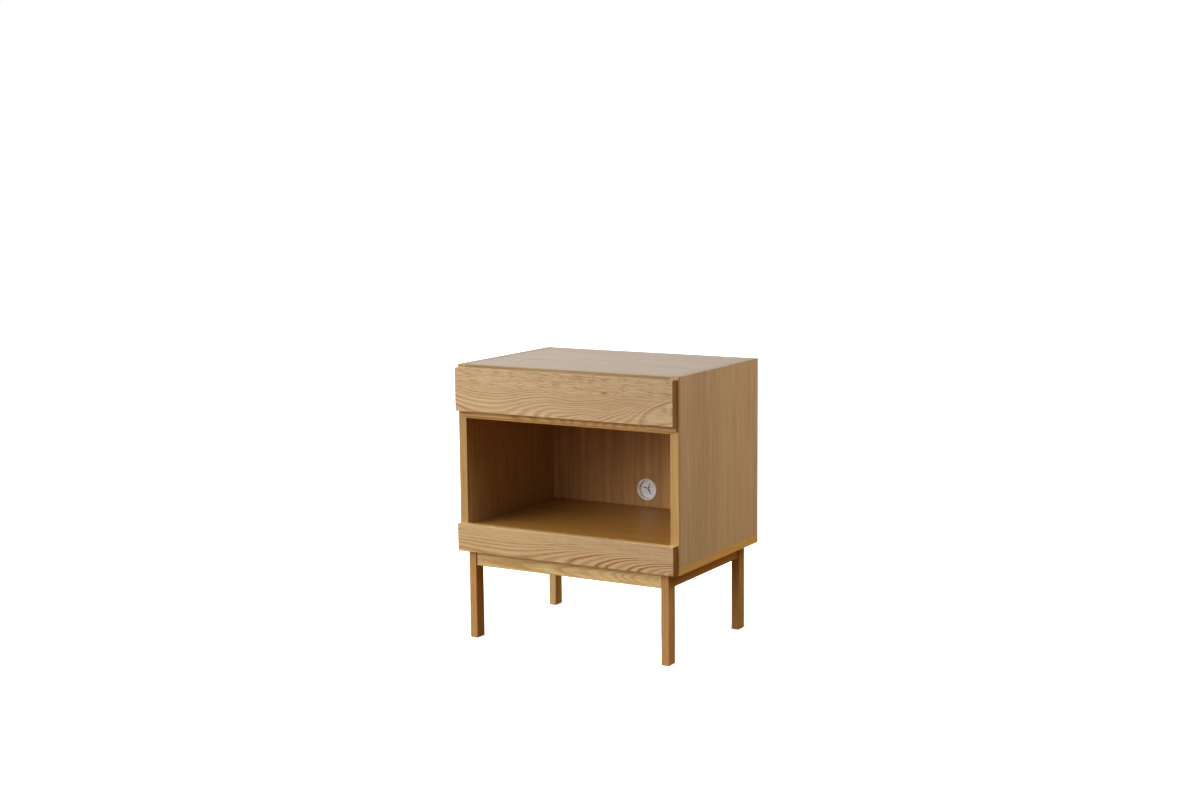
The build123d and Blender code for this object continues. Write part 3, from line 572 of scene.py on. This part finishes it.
# lower front board: valley at the left, flames stepping to the right
low, high = box_mm("lower_front_board")
bottom, top = low[2], high[2]
dress(wood(
    "oak_lower_board", "XZY", seed=2, face=low[1],
    depth=across_front((0, 52.4), (15, 53.6), (30, 54), (45, 51.4), (60, 45), (75, 36),
                       (90, 26), (100, 18.5)),
    axis=across_front((0, bottom), (30, bottom - 1), (55, bottom + 1), (100, bottom - 2)),
    ring=3.05, warp=(2.6, 1.0, 0.35), spread=0.45,
    wild=[(bottom, 0.6), (bottom + 30, 0.9), (top, 1.8)],
    contrast=2.2, fade=0.25, tail=0.56,
    zone=[(bottom, 1.0), (bottom + 24, 1.0), (bottom + 36, 0.45), (top, 0.42)],
    soft=across_front((0, 0.82), (30, 0.78), (55, 0.92), (100, 0.95)),
    broken=[(bottom, 0.05), (bottom + 26, 0.1), (bottom + 38, 0.7), (top, 0.85)],
    tone=(0.96, 1.01, 0.98), end=END, ramp=[(LEFT, 1.0), (RIGHT, 0.86)],
    # painted light on the top edge; painted shade on surfaces pointing down
    faces=(("Z", 1.0, (1.30, 1.28, 1.22)), PAINTED_SHADE_DOWN)), "lower_front_board")


# --------------------------------------------------------- carcass panels
def veneered(name, piece, axes, seed, **look):
    dress(wood("veneer_" + name, axes, seed, palette=VENEER, pores=0.8, **look), piece)


# side veneer tone: partly the veneer's own colour, partly painted light that brightens and
# cools the sides
SIDE_TONE = (1.02, 1.15, 1.34)
# painted shade on the inner surfaces of the sides, within the cabinet
INSIDE_SHADE_TONE = (1.04, 1.02, 0.70)
INSIDE_SHADE = tuple(i / s for i, s in zip(INSIDE_SHADE_TONE, SIDE_TONE))
low, high = box_mm("side_panel_right")
# side, seed, log axis, leaf width, x direction of the inner face
for side, seed, axis, leaf, inward in (("right", 3, -420.0, 128.0, -1.0),
                                       ("left", 4, -430.0, 131.0, 1.0)):
    veneered("side_" + side, "side_panel_" + side, "ZYX", seed, axis=axis, depth=40.0,
             ring=2.6, warp=(9.0, 1.2, 0.3), leaf=leaf, contrast=0.9, fine=1.8,
             bands=0.22, tone=SIDE_TONE, tape=SIDE_TAPE,
             # painted shade: the sides darker towards the bottom
             ramp=[(low[2], 0.90), (high[2], 1.05)],
             faces=(("X", inward, INSIDE_SHADE), PAINTED_SHEEN_UP))

LEVEL = dict(depth=50.0, ring=2.8, warp=(8.0, 1.3, 0.3))  # log of level boards
SATIN = dict(rough=0.56, coat=0.04, spec=0.22)  # duller finish of the top
veneered("top", "top_panel", "XYZ", 5, axis=-520.0, leaf=118.0, contrast=0.9, fine=1.6,
         # painted sheen: tone greyed and cooled for the lacquer's pale sheen
         bands=0.22, tone=(0.82, 0.98, 1.34), ramp=[(-250.0, 1.08), (250.0, 0.97)],
         **LEVEL, **SATIN)
veneered("bottom", "bottom_panel", "XYZ", 6, axis=-500.0, leaf=122.0, contrast=0.8,
         faces=(("Z", -1.0, (0.92, 1.06, 1.28)),), **LEVEL)
veneered("floor", "compartment_floor", "XYZ", 7, axis=-480.0, leaf=125.0, contrast=0.9,
         # painted shade: tone darker and warmer for the shaded compartment
         fine=1.5, bands=0.2, tone=(0.88, 0.74, 0.33), coat=0.35,
         knots=((-139.0, -146.6, 4.0, 2.6, 1.5, 1.2),), **LEVEL)
veneered("divider", "drawer_divider", "XYZ", 8, axis=-480.0, leaf=125.0, contrast=0.8,
         # painted shade: tone darker and warmer within the compartment
         tone=(0.85, 0.78, 0.55), **LEVEL)
veneered("back", "back_panel", "ZXY", 9, axis=-640.0, ring=2.9,
         warp=(10.0, 1.4, 0.3), leaf=92.0, bands=0.75, fine=1.3,
         # painted shade on the back panel's front surface within the cabinet
         tone=(1.0, 0.98, 0.92), faces=(("Y", -1.0, (0.95, 0.83, 0.60)),))


# ------------------------------------------------ lippings, legs, aprons
def solid(kind, piece, axes, seed, **look):
    dress(wood(kind + "_" + piece, axes, seed, **look), piece)


# lippings: straight solid strips
LIPPING = dict(depth=160.0, ring=2.2, warp=(3.0, 0.7, 0.25), contrast=0.7, end=END)
for i, side in enumerate(("left", "right")):
    solid("oak", "side_lipping_" + side, "ZXY", 10 + i, axis=-300.0,
          tone=(0.84, 0.81, 0.54), **LIPPING)
# painted sheen in the top lipping's tone, and painted shade on its front surface behind the
# drawer front
solid("oak", "top_lipping", "XZY", 12, axis=200.0, tone=(0.80, 0.88, 1.02),
      faces=(("Y", -1.0, (0.76, 0.72, 0.54)),), **LIPPING, **SATIN)
# painted shade: divider lipping darkened by the drawer front's overhang
solid("oak", "divider_lipping", "XZY", 13, axis=200.0, tone=(0.86, 0.78, 0.47), **LIPPING)

LEG_TONE = (0.835, 0.75, 0.50)
# leg, log centre from the leg's middle, factors on LEG_TONE; the rear left factors are
# painted light and the rear right painted shade
LEGS = (("front_left", -64.0, (1.0, 1.0, 1.0)), ("front_right", 70.0, (0.98, 0.98, 0.98)),
        ("rear_left", -64.0, (1.05, 1.37, 1.72)), ("rear_right", 70.0, (0.74, 0.75, 0.71)))
for i, (leg, offset, factors) in enumerate(LEGS):
    low, high = box_mm("leg_" + leg)
    solid("oak", "leg_" + leg, "ZXY", 14 + i, face=low[1],
          axis=(low[0] + high[0]) / 2 + offset, depth=38.0 + 9 * i, ring=2.4,
          warp=(4.0, 0.9, 0.3), contrast=0.95, fine=1.3,
          tone=tuple(t * f for t, f in zip(LEG_TONE, factors)))

low, high = box_mm("apron_front")
apron_middle = (low[2] + high[2]) / 2
solid("oak", "apron_front", "XZY", 19, face=low[1],
      depth=[(low[0], 40), (0, 37), (0.5 * high[0], 30), (high[0], 16)],
      axis=[(low[0], apron_middle - 4), (0, apron_middle - 1), (high[0], apron_middle + 1)],
      ring=2.6, warp=(2.4, 0.8, 0.3), contrast=0.75, fine=1.4, tone=(1.05, 1.16, 1.02))
solid("oak", "apron_rear", "XZY", 20, face=box_mm("apron_rear")[0][1], axis=apron_middle,
      depth=30.0, ring=2.6, warp=(5.0, 0.8, 0.3), contrast=0.9, tone=LEG_TONE)
for i, piece in enumerate(("apron_left", "apron_right")):
    solid("oak", piece, "YZX", 21 + i, face=box_mm(piece)[0][0],
          axis=apron_middle - 90.0, ring=2.4, warp=(4.0, 0.8, 0.3), contrast=0.8,
          tone=LEG_TONE)

# ----------------------------------------------- hidden rails, drawer box
RAIL = dict(axis=120.0, depth=50.0, ring=3.6, contrast=1.1, pores=0.1, palette=PINE,
            end=(0.82, 0.74, 0.62), rough=0.6, hidden=True)
for i, (piece, axes) in enumerate((("floor_bearer_left", "YZX"),
                                   ("floor_bearer_right", "YZX"),
                                   ("front_batten", "XZY"), ("rear_batten", "XZY"))):
    solid("pine", piece, axes, 24 + i, **RAIL)

DRAWER_BOX = dict(axis=500.0, depth=70.0, ring=4.2, contrast=0.6, pores=0.25,
                  palette=PALE, end=(0.80, 0.72, 0.60), rough=0.55, coat=0.04)
for piece, axes, seed in (("drawer_side_left", "YZX", 30), ("drawer_side_right", "YZX", 31),
                          ("drawer_inner_front", "XZY", 33), ("drawer_back", "XZY", 34)):
    solid("pale", piece, axes, seed, **DRAWER_BOX)


def plywood():
    net = material_graph("plywood_bottom")
    position = net.position()
    height = net.axes(position)["Z"]
    up = net.math("ABSOLUTE", net.normal()["Z"])
    low, high = box_mm("drawer_bottom")
    fibre = net.grains(position, (40.0, 0.7, 0.7), detail=3.0, rough=0.6)
    figure = net.grains(position, (260.0, 26.0, 40.0), distortion=0.6)
    rings = net.math("SINE", net.mul(figure, 42.0))
    dark = net.clamp(net.mad(rings, 0.16, net.swing(fibre, 1.2, 0.40)))
    face = net.blend(dark, lin(222, 196, 156), lin(196, 160, 116))
    # layers seen on the edge
    layer = net.math("FRACT", net.mul(net.sub(height, low[2]), 1.5 / (high[2] - low[2])))
    outer = net.smooth(net.math("ABSOLUTE", net.sub(layer, 0.5)), 0.16, 0.22)
    edge = net.blend(outer, lin(150, 108, 70), lin(208, 176, 132))
    return net.principled(Base_Color=net.blend(net.smooth(up, 0.5, 0.7), edge, face),
                          Roughness=net.mad(fibre, 0.15, 0.5),
                          Normal=net.bump(fibre, strength=0.25, distance=0.00012))


def beech():
    net = material_graph("beech_dowel")
    position = net.position()
    fleck = net.grains(position, 1.6, detail=3.0, rough=0.6)
    cloud = net.grains(position, 9.0)
    colour = net.blend(net.clamp(net.swing(fleck, 1.6, 0.4)),
                       lin(218, 180, 136), lin(186, 140, 96))
    colour = net.gain(colour, net.swing(cloud, 0.2, 1.0))
    return net.principled(Base_Color=colour, Roughness=0.6)


DOWELS = ("base_dowels", "carcass_dowels", "drawer_dowels")
dress(plywood(), "drawer_bottom")
dress(beech(), *DOWELS)


# ------------------------------------------------------------------ metal
def steel(name, base, rough, spangle=0.0, second=None, brush=None):
    """Clouded steel. spangle is how much its crystals vary, and second its
    other colour; brush, the size of brush marks, adds those and worn edges."""
    net = material_graph(name)
    position = net.position()
    cloud = net.grains(position, 18.0, detail=3.0)
    crystal = net.axes(net.cells(position, 3.2)["Color"])["X"]
    colour = net.blend(net.clamp(net.swing(cloud, 1.8, 0.5)), base,
                       second or tint(base, (0.80, 0.80, 0.82)))
    colour = net.gain(colour, net.swing(crystal, spangle, 1.0))
    if not brush:
        return net.principled(Base_Color=colour, Metallic=1.0, Roughness=rough)
    marks = net.grains(position, brush, detail=3.0, rough=0.6)
    edge = net.worn_edge(0.0006)
    colour = net.blend(net.mul(edge, 0.35), colour, net.gain(colour, 1.2))
    rough = net.swing(cloud, 0.12, net.swing(marks, 0.24, rough))
    return net.principled(Base_Color=colour, Metallic=1.0, Roughness=net.clamp(rough),
                          Normal=net.bump(marks, strength=0.12, distance=0.00005))


dress(steel("zinc_plated_slide", lin(196, 198, 200), rough=0.34, spangle=0.05,
            brush=(0.6, 60.0, 0.6)),
      *[n for n in NODES if n.startswith("slide_") and "member" in n])
dress(steel("cage_strip", lin(172, 174, 176), rough=0.40, spangle=0.04),
      *[n for n in NODES if "ball_cage" in n])
dress(steel("ball_bright", lin(214, 216, 220), rough=0.14),
      *[n for n in NODES if n.endswith("balls")])
dress(steel("screw_zinc", lin(188, 186, 178), rough=0.36, second=lin(158, 150, 132)),
      *[n for n in NODES if n.endswith("_screws")])


# --------------------------------------------------------------- plastics
def plastic(name, base, rough, grain=0.0, scale=0.35, coat=0.0, shade_band=None):
    """Clouded plastic with painted shade in its corners.

    grain is the strength of a surface texture of size scale, and brings worn
    edges with it. The last argument is (low y, high y, colour) of a band within: painted
    shade."""
    net = material_graph(name)
    position = net.position()
    cloud = net.grains(position, 16.0, detail=3.0, rough=0.55)
    colour = net.blend(net.clamp(net.swing(cloud, 1.6, 0.4)), base,
                       tint(base, (0.93, 0.92, 0.90)))
    # painted shade: occlusion darkens corners
    corner = net.fill(net.node("ShaderNodeAmbientOcclusion", samples=8), Distance=0.004)
    painted_corner_shade = net.mul(net.inv(net.smooth(corner.outputs["AO"], 0.25, 0.85)), 0.22)
    colour = net.blend(painted_corner_shade, colour, lin(150, 138, 120))
    # painted shade: a dark band through the membrane's depth, round the slits
    if shade_band:
        y0, y1, shade = shade_band
        y = net.axes(position)["Y"]
        inside = net.mul(net.smooth(y, y0, y0 + 0.3), net.inv(net.smooth(y, y1 - 0.3, y1)))
        colour = net.blend(inside, colour, shade)
    if not grain:
        return net.principled(Base_Color=colour, Roughness=rough)
    texture = net.grains(position, scale, rough=0.6)
    edge = net.worn_edge(0.0007)
    colour = net.blend(net.mul(edge, 0.2), colour, net.gain(colour, 1.05))
    rough = net.swing(texture, 0.10, net.swing(cloud, 0.16, rough))
    return net.principled(Base_Color=colour, Roughness=rough, Coat_Weight=coat,
                          Normal=net.bump(texture, strength=grain, distance=0.00006))


dress(plastic("outlet_white", lin(247, 246, 243), rough=0.42, grain=0.35, coat=0.1),
      "cable_outlet_ring")
low, high = box_mm("cable_outlet_membrane")
SKIN = 0.25  # white thickness in front of and behind the band of painted shade
dress(plastic("outlet_flap_white", lin(250, 249, 247), rough=0.62, grain=0.5, scale=0.6,
              shade_band=(low[1] + SKIN, high[1] - SKIN, lin(74, 66, 58))),
      "cable_outlet_membrane")
dress(plastic("glide_nylon", lin(224, 216, 200), rough=0.5), "leg_glides")
dress(plastic("bumper_felt", lin(206, 202, 192), rough=0.85), "drawer_bumpers")

# ---------------------------------------------------------------- shading
ROUND = DOWELS + ("cable_outlet_ring", "leg_glides", "drawer_bumpers")
SHARP_ANGLE = math.radians(33)
for name, piece in NODES.items():
    rounded = name in ROUND or name.endswith(("balls", "_screws"))
    for polygon in piece.data.polygons:
        polygon.use_smooth = rounded
    if rounded:
        piece.data.set_sharp_from_angle(angle=SHARP_ANGLE)
        piece.modifiers.new("even_normals", "WEIGHTED_NORMAL").keep_sharp = True

# ------------------------------------------------------------------ floor
FLOOR_RADIUS = 14.0
FLOOR_SEGMENTS = 64
FLOOR_Z = -0.0002
FLOOR_LIFT = 0.70  # glow of the floor near the cabinet; 1 far away
# colour sent back up, at front left, front right, back left and back right
BOUNCE = ((0.346, 0.269, 0.067, 1), (0.193, 0.066, 0.010, 1),
          (0.541, 0.145, 0.012, 1), (0.650, 0.372, 0.053, 1))


def floor_material():
    """Near white to the camera with a soft contact shadow, clear from below,
    and a warm low bounce to everything else."""
    net = material_graph("stage_floor")
    geometry = net.node("ShaderNodeNewGeometry").outputs
    place = net.axes(geometry["Position"])
    x, y = place["X"], place["Y"]
    colour = net.blend(net.noise(geometry["Position"]),
                       (0.80, 0.79, 0.78, 1), (0.84, 0.83, 0.82, 1))
    radius = net.math("SQRT", net.add(net.mul(x, x), net.mul(y, y)))
    glow = net.mad(net.smooth(radius, 0.45, 1.3), 1.0 - FLOOR_LIFT, FLOOR_LIFT)
    top = net.shader("AddShader", net.shader("BsdfDiffuse", colour),
                     net.shader("Emission", (1, 1, 1, 1), glow))
    seen = net.shader("MixShader", geometry["Backfacing"], top,
                      net.shader("BsdfTransparent"))
    rightward, backward = net.smooth(x, -0.7, 0.7), net.smooth(y, -0.7, 0.7)
    bounce = net.blend(backward, net.blend(rightward, BOUNCE[0], BOUNCE[1]),
                       net.blend(rightward, BOUNCE[2], BOUNCE[3]))
    return net.surface(net.shader("MixShader", net.camera_ray(),
                                  net.shader("Emission", bounce), seen))


def make_floor():
    mesh = bpy.data.meshes.new("stage_floor")
    turns = [2 * math.pi * k / FLOOR_SEGMENTS for k in range(FLOOR_SEGMENTS)]
    rim = [(FLOOR_RADIUS * math.cos(turn), FLOOR_RADIUS * math.sin(turn), FLOOR_Z)
           for turn in turns]
    mesh.from_pydata([(0, 0, FLOOR_Z)] + rim, [],
                     [(0, 1 + k, 1 + (k + 1) % FLOOR_SEGMENTS)
                      for k in range(FLOOR_SEGMENTS)])
    floor = bpy.data.objects.new("stage_floor", mesh)
    bpy.context.scene.collection.objects.link(floor)
    mesh.materials.append(floor_material())


make_floor()

# ------------------------------------------------------------------ light
# lobes of soft light: azimuth (0 at the front, 90 on the right), elevation,
# sharpness, strength
LOBES = ((225, 6, 7, 1.313), (315, 6, 7, 1.278), (0, 6, 7, 1.12),
         (315, 38, 7, 0.917), (300, 8, 35, 2.031), (320, 8, 35, 2.354),
         (300, 26, 35, 2.037), (320, 26, 35, 3.79), (340, 26, 35, 3.796),
         (90, 55, 20, 8.0), (170, 28, 12, 1.3))
LIGHT_COLOUR = (0.945, 1.0, 1.10, 1)


def make_world():
    """Lobes light the scene; the camera sees plain white."""
    world = bpy.data.worlds.new("studio")
    bpy.context.scene.world = world
    net = Graph(world, "ShaderNodeOutputWorld")
    ray = net.node("ShaderNodeVectorMath", net.node("ShaderNodeTexCoord").outputs[0],
                   operation="NORMALIZE").outputs[0]
    total = 0.0
    for azimuth, elevation, sharpness, strength in LOBES:
        turn, rise = math.radians(azimuth), math.radians(elevation)
        toward = (math.sin(turn) * math.cos(rise), -math.cos(turn) * math.cos(rise),
                  math.sin(rise))
        dot = net.node("ShaderNodeVectorMath", ray, toward,
                       operation="DOT_PRODUCT").outputs["Value"]
        lobe = net.math("EXPONENT", net.mad(dot, sharpness, -sharpness))
        total = net.mad(lobe, strength, total)
    studio = net.shader("Background", LIGHT_COLOUR, total)
    white = net.shader("Background", (1, 1, 1, 1), 1.0)
    net.surface(net.shader("MixShader", net.camera_ray(), studio, white))


make_world()

# ----------------------------------------------------------------- camera
CAMERA_PLACE = (1.9929, -3.4597, 1.0705)
CAMERA_RIGHT = (0.86518, 0.50138, -0.00922)
CAMERA_FORWARD = (-0.49779, 0.85648, -0.13653)


def make_camera():
    lens = bpy.data.cameras.new("camera")
    camera = bpy.data.objects.new("camera", lens)
    bpy.context.scene.collection.objects.link(camera)
    right = Vector(CAMERA_RIGHT).normalized()
    forward = Vector(CAMERA_FORWARD)
    forward = (forward - right * forward.dot(right)).normalized()
    up = right.cross(forward).normalized()
    pose = Matrix.Identity(4)
    for i in range(3):
        pose[i][0], pose[i][1], pose[i][2] = right[i], up[i], -forward[i]
    pose.translation = Vector(CAMERA_PLACE)
    camera.matrix_world = pose
    lens.sensor_width = 36.0
    lens.lens = 55.387
    lens.clip_end = 60.0
    bpy.context.scene.camera = camera


make_camera()

view = bpy.context.scene.view_settings
view.view_transform = "Standard"
view.gamma = 0.8
view.look = "None"
view.exposure = 0.0
